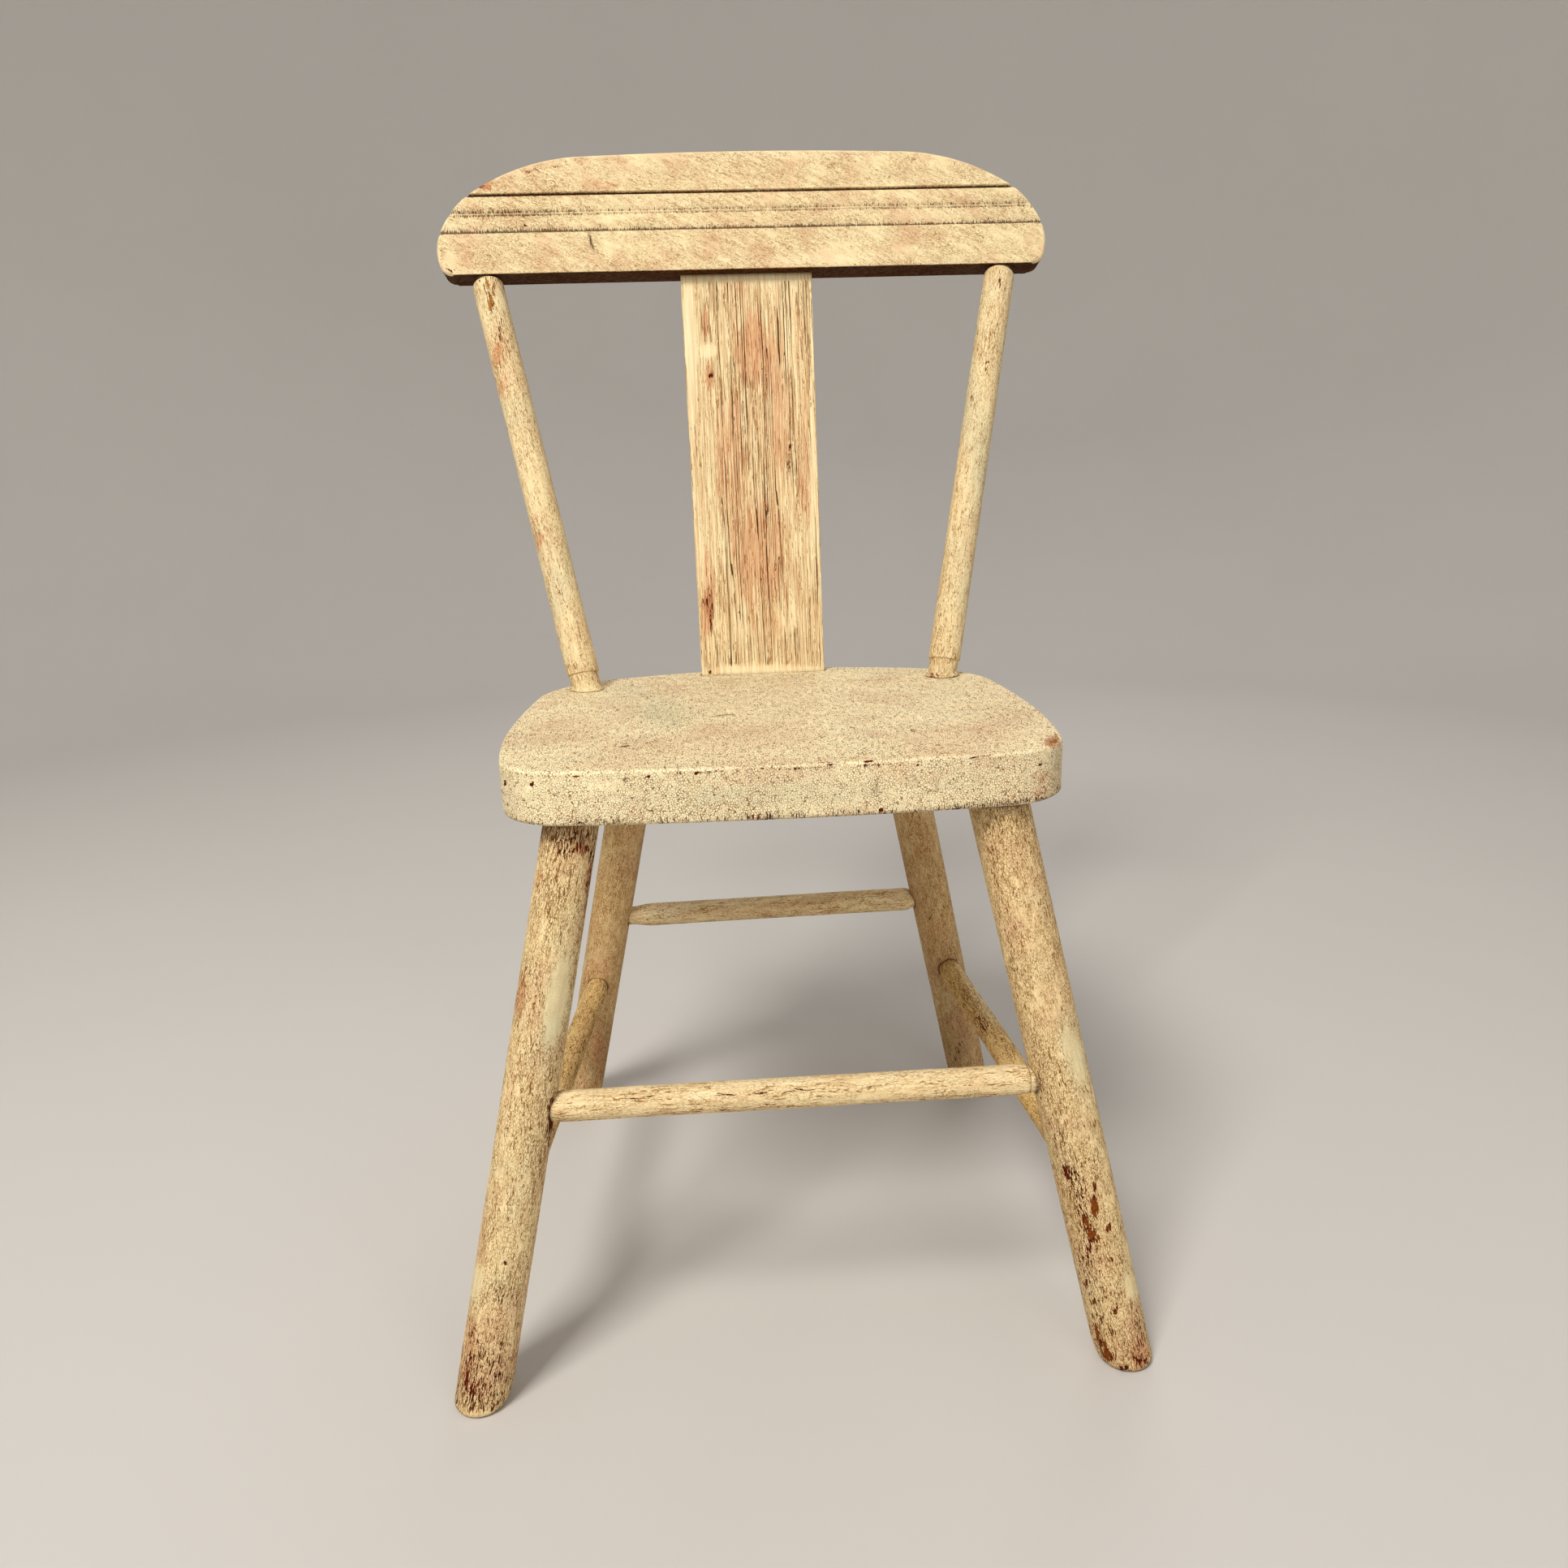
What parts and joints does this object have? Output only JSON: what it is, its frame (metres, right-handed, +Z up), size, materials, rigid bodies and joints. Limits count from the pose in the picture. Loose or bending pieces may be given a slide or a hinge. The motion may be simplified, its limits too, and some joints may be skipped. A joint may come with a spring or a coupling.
{
  "type": "child's wooden side chair",
  "caption": "Small painted wooden side chair: solid plank seat on splayed round legs with stretchers, leaning posts, flat splat and a moulded crest rail.",
  "frame": {"origin": "bottom centre of the whole chair's bounding box, on the floor", "axes": "+Z up, +Y towards the back of the chair, +X to the right as seen from the front"},
  "size_m": [0.4102, 0.3815, 0.6716],
  "materials": {
    "painted_seat": "aged cream paint, fine crackle, semi-matt, pinkish tan wear",
    "painted_crest": "aged cream paint, diagonal crackle, dirt in the mouldings",
    "painted_splat": "cream paint worn through along the grain to red-brown undercoat",
    "painted_post": "aged cream paint, fine crackle along the grain, red wear",
    "painted_leg": "aged cream paint, lengthwise crackle and red-brown chips",
    "painted_stretcher": "aged cream paint, lengthwise cracks, dirt underneath",
    "brad_steel": "dull wire nail, painted over"
  },
  "bodies": {
    "root": {"seat": "painted_seat", "crest_rail": "painted_crest", "splat": "painted_splat", "left_post": "painted_post", "right_post": "painted_post", "front_left_leg": "painted_leg", "front_right_leg": "painted_leg", "rear_left_leg": "painted_leg", "rear_right_leg": "painted_leg", "front_stretcher": "painted_stretcher", "back_stretcher": "painted_stretcher", "left_side_stretcher": "painted_stretcher", "right_side_stretcher": "painted_stretcher", "crest_brads": "brad_steel"}
  },
  "joints": []
}
